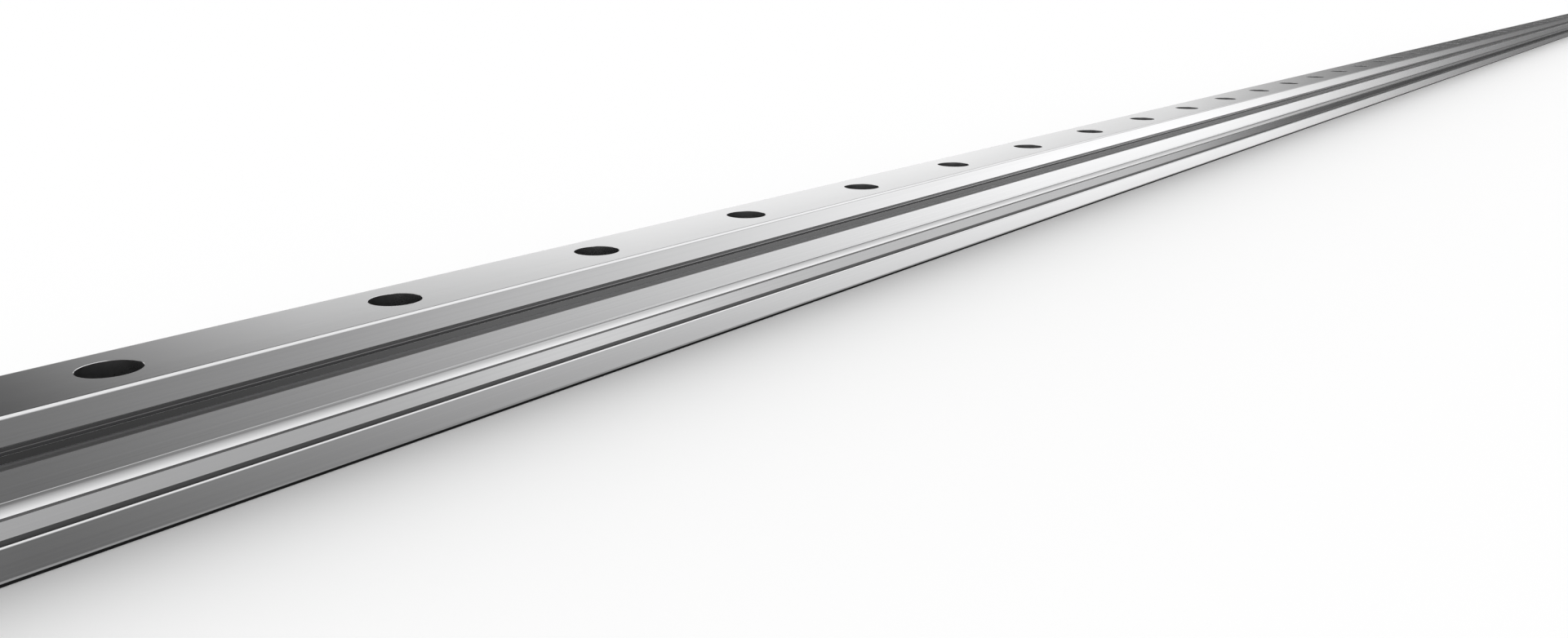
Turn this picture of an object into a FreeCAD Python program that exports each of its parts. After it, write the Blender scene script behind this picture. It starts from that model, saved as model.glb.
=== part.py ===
import FreeCAD, Part
import math
import os

# Profile guide rail, size 25: one bar of ground steel, in millimetres.
# X runs along the rail, Y across it, Z up from the mounting face.
# On the flanks an inset counts from the side plane and a drop counts from the top face.

# Stock
rail_length = 2520.0
rail_width = 23.0
rail_height = 27.5

# Screw row
hole_pitch = 60.0
hole_count = 42
bolt_hole_dia = 7.0
counterbore_dia = 11.0
counterbore_depth = 9.0

# Edges
top_chamfer = 0.41
base_chamfer = 0.24
foot_bevel_inset = 0.40
foot_bevel_rise = 1.20
heel_inset = 0.48
heel_rise = 0.62

# Head: a plain side above a bevelled lip and a grinding relief
head_bottom = 4.80
head_bevel_inset = 0.22
head_bevel_drop = 0.30
relief_inset = 2.10
relief_top = 5.35
relief_bottom = 6.65
shoulder_inset = 1.22
shoulder_drop = 6.67

# Waist: a flat land between the two raceway arcs, which face each other;
# the lower arc runs smoothly into the land, and the upper one meets it at an edge
waist_inset = 2.30
land_top = 9.51
land_bottom = 14.79
raceway_r = 2.50
upper_start_deg = 9.0
upper_end_deg = 49.5
lower_end_deg = 50.0

# Flank of the foot: a nick under the lower raceway, a sloped strip and a corner relief
nick_inset = 0.28
nick_drop = 0.62
strip_foot_inset = 1.00
strip_foot_drop = 20.11
corner_inset = 1.65
corner_drop = 20.25
base_top = 20.85

half_width = rail_width / 2.0
first_hole = -hole_pitch * (hole_count - 1) / 2.0


def pt(inset, drop, side):
    # a section point on the near (-1) or the far (1) flank
    return FreeCAD.Vector(0.0, side * (half_width - inset), rail_height - drop)


def side_edges(side):
    # edges of one flank of the section, from the top face down to the mounting face
    edges = []

    def run(*points):
        # straight edges through points given as (inset, drop)
        spots = [pt(inset, drop, side) for inset, drop in points]
        for a, b in zip(spots, spots[1:]):
            edges.append(Part.LineSegment(a, b).toShape())

    def raceway(drop, start_deg, end_deg, way):
        # an arc that leaves the land at a drop and turns outward, up (-1) or down (1); returns its outer end
        start = math.radians(start_deg)
        end = math.radians(end_deg)

        def spot(angle):
            inset = waist_inset - raceway_r * (math.cos(start) - math.cos(angle))
            return inset, drop + way * raceway_r * (math.sin(angle) - math.sin(start))

        spots = [pt(*spot(angle), side) for angle in (start, (start + end) / 2.0, end)]
        edges.append(Part.Arc(*spots).toShape())
        return spot(end)

    upper_end = raceway(land_top, upper_start_deg, upper_end_deg, -1)
    lower_end = raceway(land_bottom, 0.0, lower_end_deg, 1)
    run((top_chamfer, 0.0),
        (0.0, top_chamfer),
        (0.0, head_bottom),
        (head_bevel_inset, head_bottom + head_bevel_drop),
        (relief_inset, relief_top),
        (relief_inset, relief_bottom),
        (shoulder_inset, shoulder_drop),
        upper_end)
    run((waist_inset, land_top), (waist_inset, land_bottom))
    run(lower_end,
        (lower_end[0] + nick_inset, lower_end[1] + nick_drop),
        (strip_foot_inset, strip_foot_drop),
        (corner_inset, corner_drop),
        (corner_inset, base_top),
        (base_chamfer, base_top),
        (0.0, base_top + base_chamfer),
        (0.0, rail_height - foot_bevel_rise),
        (foot_bevel_inset, rail_height - heel_rise),
        (heel_inset, rail_height))
    return edges


def section():
    # the closed outline of the bar
    edges = side_edges(-1) + side_edges(1)
    for inset, drop in ((top_chamfer, 0.0), (heel_inset, rail_height)):
        edges.append(Part.LineSegment(pt(inset, drop, -1), pt(inset, drop, 1)).toShape())
    return Part.Wire(Part.__sortEdges__(edges))


def hole_tool(x):
    # counterbored screw hole: a clearance hole with a pocket for the screw head, cut from the top
    clear = 1.0
    bore = Part.makeCylinder(bolt_hole_dia / 2.0, rail_height + clear, FreeCAD.Vector(x, 0.0, -clear))
    seat = FreeCAD.Vector(x, 0.0, rail_height - counterbore_depth)
    pocket = Part.makeCylinder(counterbore_dia / 2.0, counterbore_depth + clear, seat)
    return bore.fuse(pocket)


bar = Part.Face(section()).extrude(FreeCAD.Vector(rail_length, 0.0, 0.0))
bar.translate(FreeCAD.Vector(-rail_length / 2.0, 0.0, 0.0))
tools = [hole_tool(first_hole + hole_pitch * i) for i in range(hole_count)]
rail = bar.cut(Part.makeCompound(tools))
if rail.ShapeType != "Solid":
    rail = rail.Solids[0]

os.makedirs("parts", exist_ok=True)
rail.exportStep("parts/rail.step")
print("rail volume mm3", round(rail.Volume, 1), "solids", len(rail.Solids), "valid", rail.isValid())
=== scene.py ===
import bpy
import math
from mathutils import Matrix, Vector


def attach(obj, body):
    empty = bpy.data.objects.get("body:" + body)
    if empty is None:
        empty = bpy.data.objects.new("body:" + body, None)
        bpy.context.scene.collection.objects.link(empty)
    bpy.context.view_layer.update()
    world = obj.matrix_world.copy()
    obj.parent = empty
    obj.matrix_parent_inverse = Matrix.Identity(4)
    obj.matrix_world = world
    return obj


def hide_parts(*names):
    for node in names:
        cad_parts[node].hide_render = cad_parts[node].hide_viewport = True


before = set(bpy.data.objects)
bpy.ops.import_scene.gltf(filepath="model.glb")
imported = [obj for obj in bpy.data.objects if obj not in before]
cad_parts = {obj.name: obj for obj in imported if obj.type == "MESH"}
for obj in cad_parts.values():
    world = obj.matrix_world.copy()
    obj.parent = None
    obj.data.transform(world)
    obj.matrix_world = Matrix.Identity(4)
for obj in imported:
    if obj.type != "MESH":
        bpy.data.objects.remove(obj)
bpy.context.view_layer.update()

# Sizes of the rail in millimetres, the same as the solid's
# On the flanks an inset counts from the side plane and a drop counts from the top face
RAIL_LENGTH = 2520.0
RAIL_WIDTH = 23.0
RAIL_HEIGHT = 27.5
HOLE_PITCH = 60.0
HOLE_COUNT = 42
BOLT_HOLE_DIA = 7.0
COUNTERBORE_DIA = 11.0
COUNTERBORE_DEPTH = 9.0
TOP_CHAMFER = 0.41
BASE_CHAMFER = 0.24
FOOT_BEVEL_INSET = 0.40
FOOT_BEVEL_RISE = 1.20
HEEL_INSET = 0.48
HEEL_RISE = 0.62
HEAD_BOTTOM = 4.80
HEAD_BEVEL_INSET = 0.22
HEAD_BEVEL_DROP = 0.30
RELIEF_INSET = 2.10
RELIEF_TOP = 5.35
RELIEF_BOTTOM = 6.65
SHOULDER_INSET = 1.22
SHOULDER_DROP = 6.67
WAIST_INSET = 2.30
LAND_TOP = 9.51
LAND_BOTTOM = 14.79
RACEWAY_R = 2.50
UPPER_START = math.radians(9.0)
UPPER_END = math.radians(49.5)
LOWER_END = math.radians(50.0)
NICK_INSET = 0.28
NICK_DROP = 0.62
STRIP_FOOT_INSET = 1.00
STRIP_FOOT_DROP = 20.11
CORNER_INSET = 1.65
CORNER_DROP = 20.25
BASE_TOP = 20.85

HALF = RAIL_WIDTH / 2.0
FIRST_HOLE = -HOLE_PITCH * (HOLE_COUNT - 1) / 2
UPPER_TOP = LAND_TOP - RACEWAY_R * (math.sin(UPPER_END) - math.sin(UPPER_START))
LOWER_BOTTOM = LAND_BOTTOM + RACEWAY_R * math.sin(LOWER_END)
MM = 0.001

# Fine relief that the solid leaves out
RIM_BEVEL = 0.07
ROLL_WIDTH = 0.40
ROLL_DROP = 0.026
LIP_STEP = 0.053
LIP_FOOT = 0.008
LIP_DROP = 0.23
LIP_HEIGHT = 0.09
RIB_TOP = 6.22
RIB_BOTTOM = 6.34
RIB_STEP = 0.12

# Radii of the rounded edges, and the largest share of a face that a rounding may take
TOP_EDGE_R = 0.32
HEAD_EDGE_R = 0.14
HEAD_LIP_R = 0.05
SHOULDER_R = 0.015
RACEWAY_EDGE_R = 0.06
STRIP_EDGE_R = 0.03
LEDGE_EDGE_R = 0.05
BASE_EDGE_R = 0.26
FOOT_EDGE_R = 0.03
ROUNDING_SHARE = 0.45

# Fineness of the mesh
ROUNDING_STEPS = 6
UPPER_STEPS = 20
LOWER_STEPS = 28
RING_STEPS = 96
SHARP_ANGLE = math.radians(10)
NORMAL_WEIGHT = 60

# How far a finish keeps off its neighbours
SLACK = 0.01
SIDE_MARGIN = 0.02
HEAD_MARGIN = 0.12
NICK_MARGIN = 0.04

# Finishes of the steel: name, colour, roughness, depth of the grinding lines
FINISHES = [
    ("ground_steel", (0.62, 0.62, 0.625), 0.14, 0.25),
    ("bored_steel", (0.37, 0.37, 0.375), 0.28, 0.3),
    # painted shade: the relief under the head and the top of the base ledge are coloured dark for the shade
    # in them
    ("painted_shade_relief_steel", (0.14, 0.14, 0.142), 0.28, 0.3),
    ("turned_nick_steel", (0.68, 0.68, 0.685), 0.3, 0.3),
    # painted shade for the bevel under the head and the corner between the strip and the base
    ("painted_shade_corner_steel", (0.34, 0.34, 0.343), 0.15, 0.3),
    # painted shadow: the dark heel stands for the contact shadow along the foot
    ("shaded_heel_steel", (0.018, 0.018, 0.018), 0.5, 0.3),
    ("raceway_steel", (0.62, 0.62, 0.625), 0.28, 0.25),
    ("sawn_end_steel", (0.56, 0.56, 0.565), 0.48, 0.5),
    # painted shade on the ledge at the foot of the relief
    ("painted_shade_ledge_steel", (0.34, 0.34, 0.343), 0.28, 0.3),
    # painted shade, lighter than the rest of the relief, on the rib inside it
    ("painted_shade_rib_steel", (0.44, 0.44, 0.445), 0.2, 0.3),
]
GROUND, BORED, DARK, NICK, CORNER, HEEL, RACE, SAWN, LEDGE, RIB = range(len(FINISHES))
GRIND_SCALE, GRIND_DETAIL = (4.0, 2600.0, 2600.0), 3.0
CLOUD_SCALE, CLOUD_DETAIL = (9.0, 60.0, 60.0), 2.0
TONE_LOW, TONE_HIGH = 0.87, 1.13
GLOSS_LOW, GLOSS_HIGH = 0.88, 1.12
GRIND_DEPTH = 0.00001


def rounded(points, radii):
    # the same run of points with small roundings at the corners that have a radius
    out = []
    for i, (p, r) in enumerate(zip(points, radii)):
        if r <= 0 or i in (0, len(points) - 1):
            out.append(p)
            continue
        a, b = Vector(points[i - 1]) - Vector(p), Vector(points[i + 1]) - Vector(p)
        longest = ROUNDING_SHARE * min(a.length, b.length)
        a.normalize()
        b.normalize()
        half = a.angle(b) / 2
        cut = min(r / math.tan(half), longest)
        c = Vector(p) + (a + b).normalized() * (cut * math.tan(half) / math.sin(half))
        v0, v1 = Vector(p) + a * cut - c, Vector(p) + b * cut - c
        turned = v0.angle_signed(v1)
        for k in range(ROUNDING_STEPS + 1):
            t = -turned * k / ROUNDING_STEPS
            out.append((c.x + v0.x * math.cos(t) - v0.y * math.sin(t),
                        c.y + v0.x * math.sin(t) + v0.y * math.cos(t)))
    return out


def flank():
    # one flank of the section as a run of (inset, drop), from the top face down
    pts, rad = [], []

    def add(inset, drop, r=0.0):
        pts.append((inset, drop))
        rad.append(r)

    add(TOP_CHAMFER + ROLL_WIDTH, 0.0)
    add(TOP_CHAMFER, ROLL_DROP)
    add(0.0, TOP_CHAMFER, TOP_EDGE_R)
    add(0.0, HEAD_BOTTOM, HEAD_EDGE_R)
    add(HEAD_BEVEL_INSET, HEAD_BOTTOM + HEAD_BEVEL_DROP, HEAD_LIP_R)
    add(RELIEF_INSET, RELIEF_TOP)
    add(RELIEF_INSET, RIB_TOP)
    add(RELIEF_INSET - RIB_STEP, RIB_TOP)
    add(RELIEF_INSET - RIB_STEP, RIB_BOTTOM)
    add(RELIEF_INSET, RIB_BOTTOM)
    add(RELIEF_INSET, RELIEF_BOTTOM)
    add(SHOULDER_INSET, SHOULDER_DROP, SHOULDER_R)
    for k in range(UPPER_STEPS + 1):
        t = UPPER_END + (UPPER_START - UPPER_END) * k / UPPER_STEPS
        add(WAIST_INSET - RACEWAY_R * (math.cos(UPPER_START) - math.cos(t)),
            LAND_TOP - RACEWAY_R * (math.sin(t) - math.sin(UPPER_START)))
    add(WAIST_INSET + LIP_STEP, LAND_BOTTOM - LIP_DROP)
    add(WAIST_INSET + LIP_FOOT, LAND_BOTTOM - LIP_DROP + LIP_HEIGHT)
    for k in range(LOWER_STEPS + 1):
        t = LOWER_END * k / LOWER_STEPS
        add(WAIST_INSET - RACEWAY_R * (1 - math.cos(t)), LAND_BOTTOM + RACEWAY_R * math.sin(t),
            RACEWAY_EDGE_R if k == LOWER_STEPS else 0.0)
    end_inset, end_drop = pts[-1]
    add(end_inset + NICK_INSET, end_drop + NICK_DROP)
    add(STRIP_FOOT_INSET, STRIP_FOOT_DROP, STRIP_EDGE_R)
    add(CORNER_INSET, CORNER_DROP)
    add(CORNER_INSET, BASE_TOP)
    add(BASE_CHAMFER, BASE_TOP, LEDGE_EDGE_R)
    add(0.0, BASE_TOP + BASE_CHAMFER, BASE_EDGE_R)
    add(0.0, RAIL_HEIGHT - FOOT_BEVEL_RISE, FOOT_EDGE_R)
    add(FOOT_BEVEL_INSET, RAIL_HEIGHT - HEEL_RISE)
    add(HEEL_INSET, RAIL_HEIGHT)
    return rounded(pts, rad)


def finish_of(inset, drop):
    # which finish a face of the flank has, by its middle
    # painted shade, lighter, on the rib inside the relief
    if RIB_TOP + SLACK < drop < RIB_BOTTOM - SLACK and inset < RELIEF_INSET:
        return RIB
    # painted shade on the ledge at the foot of the relief
    if RELIEF_BOTTOM < drop < SHOULDER_DROP and SHOULDER_INSET + SIDE_MARGIN < inset < RELIEF_INSET:
        return LEDGE
    # painted shade: the relief under the head is coloured dark, and the bevel under the head a lighter
    # painted shade
    if HEAD_BOTTOM + HEAD_MARGIN < drop < RELIEF_BOTTOM and inset > SIDE_MARGIN:
        on_bevel = drop < HEAD_BOTTOM + HEAD_BEVEL_DROP - SLACK and inset < HEAD_BEVEL_INSET
        return CORNER if on_bevel else DARK
    if UPPER_TOP < drop < LAND_TOP:
        return RACE
    if LOWER_BOTTOM + NICK_MARGIN < drop < LOWER_BOTTOM + NICK_DROP:
        return NICK
    # painted shade in the corner between the strip and the base
    if STRIP_FOOT_DROP + STRIP_EDGE_R < drop < BASE_TOP - SLACK:
        return CORNER
    # painted shade on the top of the base ledge, in the corner over the base
    if abs(drop - BASE_TOP) < SLACK and inset > BASE_CHAMFER + LEDGE_EDGE_R:
        return DARK
    # painted shadow on the heel, for the contact shadow along the foot
    if drop > RAIL_HEIGHT - HEEL_RISE:
        return HEEL
    return GROUND


def build_rail():
    # one closed mesh: the flanks in one strip per hole cell, the ends, the holes and the flats around them
    side = flank()
    near = [(-(HALF - i), RAIL_HEIGHT - d) for i, d in side]
    far = [(HALF - i, RAIL_HEIGHT - d) for i, d in side]
    loop = near + far[::-1]
    n, m = len(side), len(loop)
    verts, faces, mats = [], [], []

    def face(corners, finish):
        faces.append(tuple(corners))
        mats.append(finish)

    def vid(s, j):
        return s * m + j

    cuts = [FIRST_HOLE + HOLE_PITCH * (k + 0.5) for k in range(HOLE_COUNT - 1)]
    for x in [-RAIL_LENGTH / 2] + cuts + [RAIL_LENGTH / 2]:
        verts.extend((x, y, z) for y, z in loop)
    for s in range(HOLE_COUNT):
        for j in range(m - 1):
            if j == n - 1:
                continue
            (ya, za), (yb, zb) = loop[j], loop[j + 1]
            finish = finish_of(HALF - (abs(ya) + abs(yb)) / 2, RAIL_HEIGHT - (za + zb) / 2)
            face((vid(s, j), vid(s, j + 1), vid(s + 1, j + 1), vid(s + 1, j)), finish)
    face((vid(0, j) for j in reversed(range(m))), SAWN)
    face((vid(HOLE_COUNT, j) for j in range(m)), SAWN)

    seat = RAIL_HEIGHT - COUNTERBORE_DEPTH
    head_r, bore_r = COUNTERBORE_DIA / 2, BOLT_HOLE_DIA / 2
    rings = [(head_r + RIM_BEVEL, RAIL_HEIGHT), (head_r, RAIL_HEIGHT - RIM_BEVEL), (head_r, seat),
             (bore_r, seat), (bore_r, 0.0)]
    quarter = RING_STEPS // 4
    for s in range(HOLE_COUNT):
        base = len(verts)
        for r, z in rings:
            for k in range(RING_STEPS):
                t = 2 * math.pi * k / RING_STEPS
                verts.append((FIRST_HOLE + HOLE_PITCH * s + r * math.cos(t), r * math.sin(t), z))
        for q in range(len(rings) - 1):
            upper, lower = base + q * RING_STEPS, base + (q + 1) * RING_STEPS
            for k in range(RING_STEPS):
                k1 = (k + 1) % RING_STEPS
                face((upper + k, upper + k1, lower + k1, lower + k), GROUND if q == 0 else BORED)
        # the flat around the hole, fanned from the four corners of its cell
        for top in (True, False):
            ring = base if top else base + (len(rings) - 1) * RING_STEPS
            jn, jf = (0, m - 1) if top else (n - 1, n)
            corner = [vid(s + 1, jf), vid(s, jf), vid(s, jn), vid(s + 1, jn)]
            for c in range(4):
                for k in range(c * quarter, (c + 1) * quarter):
                    a, b = ring + k, ring + (k + 1) % RING_STEPS
                    face((corner[c], b, a) if top else (corner[c], a, b), GROUND)
                a, b = ring + (c + 1) * quarter % RING_STEPS, corner[(c + 1) % 4]
                face((corner[c], b, a) if top else (corner[c], a, b), GROUND)

    mesh = bpy.data.meshes.new("rail_bar")
    mesh.from_pydata([(x * MM, y * MM, z * MM) for x, y, z in verts], [], faces)
    mesh.validate()
    for p, finish in zip(mesh.polygons, mats):
        p.material_index = finish
        p.use_smooth = True
    mesh.set_sharp_from_angle(angle=SHARP_ANGLE)
    # the top face meets its rolled edges at a crisp line
    roll_y = (HALF - TOP_CHAMFER - ROLL_WIDTH) * MM
    for edge in mesh.edges:
        ends = [mesh.vertices[v].co.y for v in edge.vertices]
        if ends[0] * ends[1] > 0 and all(abs(abs(y) - roll_y) < SLACK * MM for y in ends):
            edge.use_edge_sharp = True
    obj = bpy.data.objects.new("rail_bar", mesh)
    bpy.context.scene.collection.objects.link(obj)
    even = obj.modifiers.new("even_normals", "WEIGHTED_NORMAL")
    even.mode = "FACE_AREA"
    even.weight = NORMAL_WEIGHT
    even.keep_sharp = True
    return obj


def node(tree, kind, **values):
    made = tree.nodes.new(kind)
    for key, value in values.items():
        setattr(made, key, value)
    return made


def steel(name, colour, rough, lines):
    # steel with fine lines along the rail and slow changes of tone and gloss
    mat = bpy.data.materials.new(name)
    mat.use_nodes = True
    tree = mat.node_tree
    link = tree.links.new
    bsdf = tree.nodes["Principled BSDF"]
    bsdf.inputs["Metallic"].default_value = 1.0
    where = node(tree, "ShaderNodeTexCoord")

    def noise(scale, detail):
        stretch = node(tree, "ShaderNodeMapping")
        stretch.inputs["Scale"].default_value = scale
        link(where.outputs["Object"], stretch.inputs["Vector"])
        made = node(tree, "ShaderNodeTexNoise")
        made.inputs["Scale"].default_value = 1.0
        made.inputs["Detail"].default_value = detail
        link(stretch.outputs["Vector"], made.inputs["Vector"])
        return made.outputs["Fac"]

    grind = noise(GRIND_SCALE, GRIND_DETAIL)
    cloud = noise(CLOUD_SCALE, CLOUD_DETAIL)
    blend = node(tree, "ShaderNodeMath", operation="ADD")
    for k, source in enumerate((grind, cloud)):
        part = node(tree, "ShaderNodeMath", operation="MULTIPLY")
        part.inputs[1].default_value = 0.5
        link(source, part.inputs[0])
        link(part.outputs[0], blend.inputs[k])
    tone = node(tree, "ShaderNodeMixRGB", blend_type="MIX")
    tone.inputs[1].default_value = (*[c * TONE_LOW for c in colour], 1)
    tone.inputs[2].default_value = (*[min(1.0, c * TONE_HIGH) for c in colour], 1)
    link(blend.outputs[0], tone.inputs[0])
    link(tone.outputs[0], bsdf.inputs["Base Color"])
    gloss = node(tree, "ShaderNodeMapRange")
    gloss.inputs["To Min"].default_value = rough * GLOSS_LOW
    gloss.inputs["To Max"].default_value = rough * GLOSS_HIGH
    link(blend.outputs[0], gloss.inputs["Value"])
    link(gloss.outputs["Result"], bsdf.inputs["Roughness"])
    bump = node(tree, "ShaderNodeBump")
    bump.inputs["Strength"].default_value = lines
    bump.inputs["Distance"].default_value = GRIND_DEPTH
    link(grind, bump.inputs["Height"])
    link(bump.outputs["Normal"], bsdf.inputs["Normal"])
    return mat


rail = build_rail()
for finish in FINISHES:
    rail.data.materials.append(steel(*finish))
# the heel is painted shadow: a dark colour for the contact shadow along the foot, which mirrors nothing
heel_bsdf = rail.data.materials[HEEL].node_tree.nodes["Principled BSDF"]
heel_bsdf.inputs["Metallic"].default_value = 0.0
heel_bsdf.inputs["Specular IOR Level"].default_value = 0.0
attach(rail, "root")
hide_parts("rail")

# Floor, with its half width in metres
FLOOR = 40
floor_mesh = bpy.data.meshes.new("floor")
floor_mesh.from_pydata([(-FLOOR, -FLOOR, 0), (FLOOR, -FLOOR, 0), (FLOOR, FLOOR, 0), (-FLOOR, FLOOR, 0)],
                       [], [(0, 1, 2, 3)])
floor = bpy.data.objects.new("floor", floor_mesh)
bpy.context.scene.collection.objects.link(floor)
floor.visible_glossy = False
paper = bpy.data.materials.new("white_floor")
paper.use_nodes = True
paper_bsdf = paper.node_tree.nodes["Principled BSDF"]
paper_bsdf.inputs["Base Color"].default_value = (1, 1, 1, 1)
paper_bsdf.inputs["Roughness"].default_value = 1.0
paper_bsdf.inputs["Specular IOR Level"].default_value = 0.0
floor_mesh.materials.append(paper)

# Studio: an even white dome lights the floor, and the steel mirrors soft panels and a dark end
# Directions are given in degrees by two angles
# swing: the angle away from the rail's line, the same towards both ends
# tilt: the angle around that line, 0 level in front, 90 overhead, 180 level behind,
# and below the horizon the same behind as in front

# Brightness of the panels by swing
TABLE = [(0, 0.05), (9, 0.07), (22, 0.14), (44, 0.135), (51, 0.125), (58, 0.068), (64, 0.047), (71, 0.035),
         (76, 0.06), (90, 0.30)]
FOOT_GLOW = [(20, 0.38), (30, 0.30), (40, 0.25), (58, 0.25), (70, 0.30)]
SWEEP = [(0, 0.08), (9, 0.20), (17, 0.97), (22, 1.03), (27, 1.0), (44, 0.585), (58, 0.303), (71, 0.135),
         (75, 0.17), (80, 0.34), (90, 0.50)]
LEVEL = [(0, 0.08), (9, 0.17), (18, 0.42), (28, 0.435), (36, 0.395), (44, 0.43), (58, 0.29), (71, 0.27),
         (76, 0.27), (90, 0.40)]
OVERHEAD = [(0, 0.07), (9, 0.105), (12, 0.16), (18.4, 0.62), (25, 0.83), (36, 0.90), (51, 0.87), (58, 0.80),
            (90, 0.80)]
BEHIND = [(0, 0.04), (9, 0.048), (12, 0.077), (20, 0.57), (30, 0.69), (44, 0.66), (58, 0.43), (64, 0.245),
          (70, 0.085), (75, 0.20), (80, 0.36), (90, 0.42)]
SWEEP_GAIN = 1.04
BEHIND_GAIN = 1.15

# Brightness of the panels by tilt
TABLE_FADE = [(-95, 0.35), (-70, 1.0), (-55, 0.95), (-40, 0.75)]
SWEEP_SHARE = [(-60, 0.0), (-38, 0.03), (-24.2, 0.64), (-21.2, 0.98), (-17, 1.0)]
BEHIND_STEEP = [(148, 1.0), (155, 0.4), (158.5, 0.05), (163.0, 0.83), (168, 1.7)]
BEHIND_GENTLE = [(146, 0.9), (154, 0.25), (163.0, 0.83), (170, 1.4)]

# Where one panel gives way to the next: swing for the first, tilt for the others
GENTLE_TO_STEEP = (40.0, 62.0)
EYE_TO_OVERHEAD = (-8.0, 71.0)
LOW_TO_FRONT = (-17.0, -11.0)
FRONT_TO_BEHIND = (120.0, 152.0)
BEHIND_TO_LEVEL = (168.0, 175.0)

# Small panels and lines in degrees: middle and spread, or start and end
GLOW_TURN = (-92.5, 8.0)
STRIP_TILT = (5.0, 6.0)
BAR_SWING, BAR_LIGHT = (47.5, 5.5), 0.22
STRIP_END, STRIP_END_DEPTH = (21.5, 15.8), 0.95
LINE_TILT = (-9.0, 6.5)
LINE_SWING, LINE_FAINT, LINE_DEEP = (58.0, 40.0), 0.32, 0.70
GAP_DEPTH = 0.72
GAP_SWING_IN, GAP_SWING_OUT = (89.0, 99.0), (128.0, 118.0)
GAP_TILT_IN, GAP_TILT_OUT = (72.0, 80.0), (148.0, 128.0)

# How much brighter the dome is straight behind the rail
DOME_LEAN = 0.30

world = bpy.data.worlds.new("studio")
bpy.context.scene.world = world
world.use_nodes = True
wt = world.node_tree
wt.nodes.clear()
wl = wt.links.new


def feed(socket, value):
    if isinstance(value, (int, float)):
        socket.default_value = value
    else:
        wl(value, socket)


def calc(op, a, b=0.0):
    made = node(wt, "ShaderNodeMath", operation=op)
    feed(made.inputs[0], a)
    feed(made.inputs[1], b)
    return made.outputs[0]


def times(a, b):
    return calc("MULTIPLY", a, b)


def dimmed(light, share, depth):
    # the light with a share of it taken away
    return times(light, calc("SUBTRACT", 1.0, times(share, depth)))


def curve(value, stops):
    # brightness along an angle in degrees, straight between the stops
    low, high = stops[0][0], stops[-1][0]
    ramp = node(wt, "ShaderNodeValToRGB")
    elements = ramp.color_ramp.elements
    while len(elements) < len(stops):
        elements.new(0.5)
    for element, (angle, light) in zip(elements, stops):
        element.position = (angle - low) / (high - low)
        element.color = (light, light, light, 1)
    wl(step(value, low, high, "LINEAR"), ramp.inputs["Fac"])
    return ramp.outputs["Color"]


def mix(fac, a, b):
    made = node(wt, "ShaderNodeMix", data_type="FLOAT")
    feed(made.inputs[0], fac)
    feed(made.inputs[2], a)
    feed(made.inputs[3], b)
    return made.outputs[0]


def step(value, a, b, shape="SMOOTHSTEP"):
    # 0 before a, 1 after b
    made = node(wt, "ShaderNodeMapRange", interpolation_type=shape)
    made.inputs["From Min"].default_value = a
    made.inputs["From Max"].default_value = b
    wl(value, made.inputs["Value"])
    return made.outputs["Result"]


def bell(value, middle, spread):
    t = calc("DIVIDE", calc("SUBTRACT", value, middle), spread)
    return calc("POWER", math.e, times(times(t, t), -1.0))


split = node(wt, "ShaderNodeSeparateXYZ")
wl(node(wt, "ShaderNodeTexCoord").outputs["Generated"], split.inputs[0])
dx, dy, dz = split.outputs
long_swing = calc("DEGREES", calc("ARCCOSINE", dx))
swing = calc("DEGREES", calc("ARCCOSINE", calc("ABSOLUTE", dx)))
turn = calc("DEGREES", calc("ARCTAN2", dz, times(dy, -1.0)))
tilt = calc("MAXIMUM", turn, calc("SUBTRACT", -180.0, turn))

# low: the dark table, with a glow under the bevel of the foot, and the bright sweep above it
table = times(curve(swing, TABLE), curve(tilt, TABLE_FADE))
table = mix(bell(turn, *GLOW_TURN), table, curve(swing, FOOT_GLOW))
low = mix(curve(tilt, SWEEP_SHARE), table, times(curve(swing, SWEEP), SWEEP_GAIN))

# front: from eye level up to overhead, with a bar of light and a dark end for the strip, and a dark line
level = curve(swing, LEVEL)
at_strip = bell(tilt, *STRIP_TILT)
eye = calc("ADD", level, times(times(bell(swing, *BAR_SWING), at_strip), BAR_LIGHT))
front = mix(step(tilt, *EYE_TO_OVERHEAD, "LINEAR"), eye, curve(swing, OVERHEAD))
front = dimmed(front, times(step(swing, *STRIP_END), at_strip), STRIP_END_DEPTH)
front = dimmed(front, bell(tilt, *LINE_TILT), mix(step(swing, *LINE_SWING), LINE_FAINT, LINE_DEEP))

# behind: what the top face mirrors
fall = mix(step(swing, *GENTLE_TO_STEEP), curve(tilt, BEHIND_GENTLE), curve(tilt, BEHIND_STEEP))
behind = times(curve(swing, BEHIND), times(fall, BEHIND_GAIN))

sky = mix(step(tilt, *LOW_TO_FRONT), low, front)
sky = mix(step(tilt, *FRONT_TO_BEHIND), sky, behind)
sky = mix(step(tilt, *BEHIND_TO_LEVEL), sky, level)
# a dark gap between the overhead panels, for the rims of the holes and for views from above
gap = times(step(long_swing, *GAP_SWING_IN), step(long_swing, *GAP_SWING_OUT))
gap = times(gap, times(step(tilt, *GAP_TILT_IN), step(tilt, *GAP_TILT_OUT)))
sky = dimmed(sky, gap, GAP_DEPTH)

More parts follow.
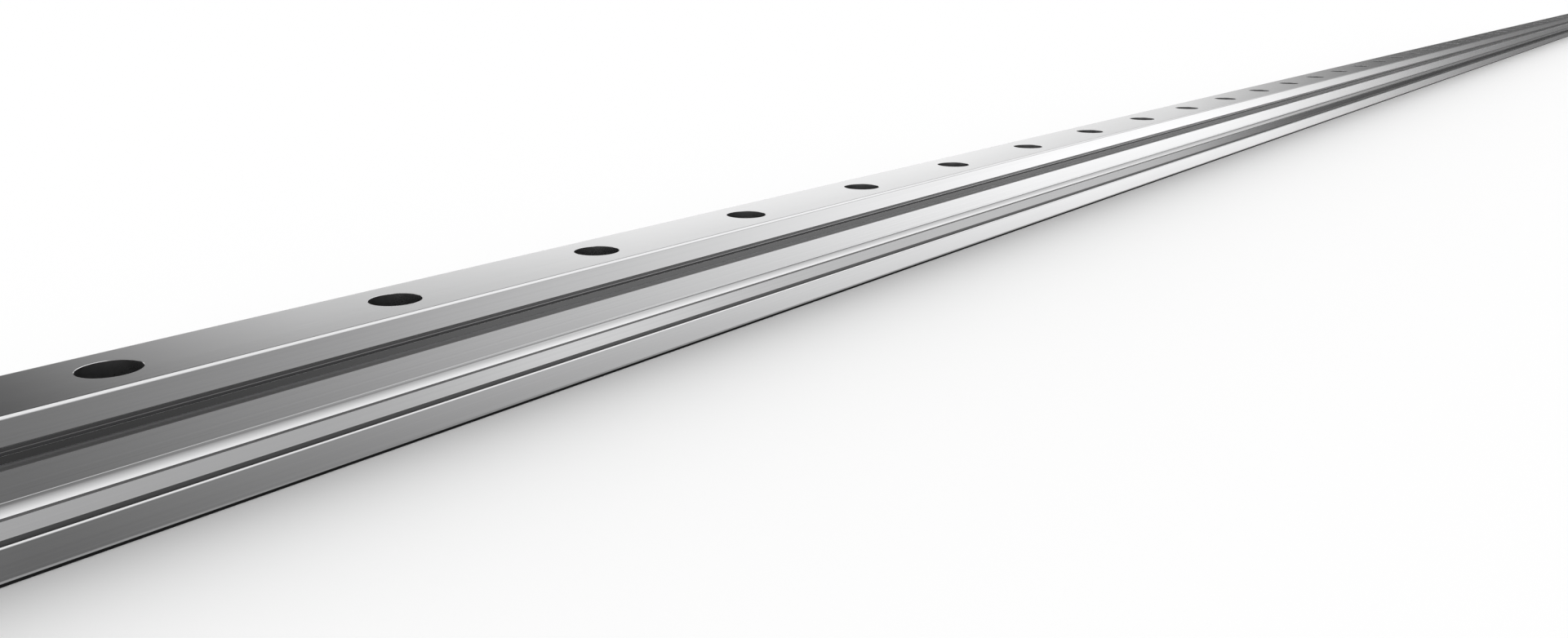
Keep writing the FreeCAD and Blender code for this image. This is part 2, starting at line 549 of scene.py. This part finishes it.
# the panels are given as the ground steel shows them
steel_tone = FINISHES[GROUND][1][0]
path = node(wt, "ShaderNodeLightPath")
mirror = times(sky, 1.0 / steel_tone)
# steel throws no light back on the floor, so that the floor keeps the soft shadow
mirror = times(mirror, calc("LESS_THAN", path.outputs["Diffuse Depth"], 0.5))
# the dome over the floor is brighter behind the rail, so that the shadow falls to the front
dome = calc("ADD", times(dy, DOME_LEAN), 1.0)
plain = mix(path.outputs["Is Camera Ray"], dome, 1.0)
strength = mix(path.outputs["Is Glossy Ray"], plain, mirror)
background = node(wt, "ShaderNodeBackground")
background.inputs["Color"].default_value = (1, 1, 1, 1)
wl(strength, background.inputs["Strength"])
wl(background.outputs[0], node(wt, "ShaderNodeOutputWorld").inputs["Surface"])

# Camera at the photograph's angle; it stands off from the middle of one hole's rim, in millimetres
VIEW_HOLE = 1
STAND_OFF = (-102.96, -219.73, 66.64)
YAW, PITCH = math.radians(36.123), math.radians(15.183)
FOCAL_PX = 1576.4
IMAGE_WIDTH = 1921.0
SENSOR = 36.0
hole = Vector((FIRST_HOLE + HOLE_PITCH * VIEW_HOLE, 0.0, RAIL_HEIGHT))
stand = (hole + Vector(STAND_OFF)) * MM
forward = Vector((math.cos(PITCH) * math.cos(YAW), math.cos(PITCH) * math.sin(YAW), -math.sin(PITCH)))
right = forward.cross(Vector((0, 0, 1))).normalized()
above = right.cross(forward)
cam = bpy.data.cameras.new("camera")
cam.sensor_width = SENSOR
cam.sensor_fit = "HORIZONTAL"
cam.lens = SENSOR * FOCAL_PX / IMAGE_WIDTH
cam.clip_start = 0.005
cam.clip_end = 200.0
cam_obj = bpy.data.objects.new("camera", cam)
bpy.context.scene.collection.objects.link(cam_obj)
cam_obj.matrix_world = Matrix((
    (right.x, above.x, -forward.x, stand.x),
    (right.y, above.y, -forward.y, stand.y),
    (right.z, above.z, -forward.z, stand.z),
    (0, 0, 0, 1)))
bpy.context.scene.camera = cam_obj
bpy.context.scene.view_settings.view_transform = "Standard"
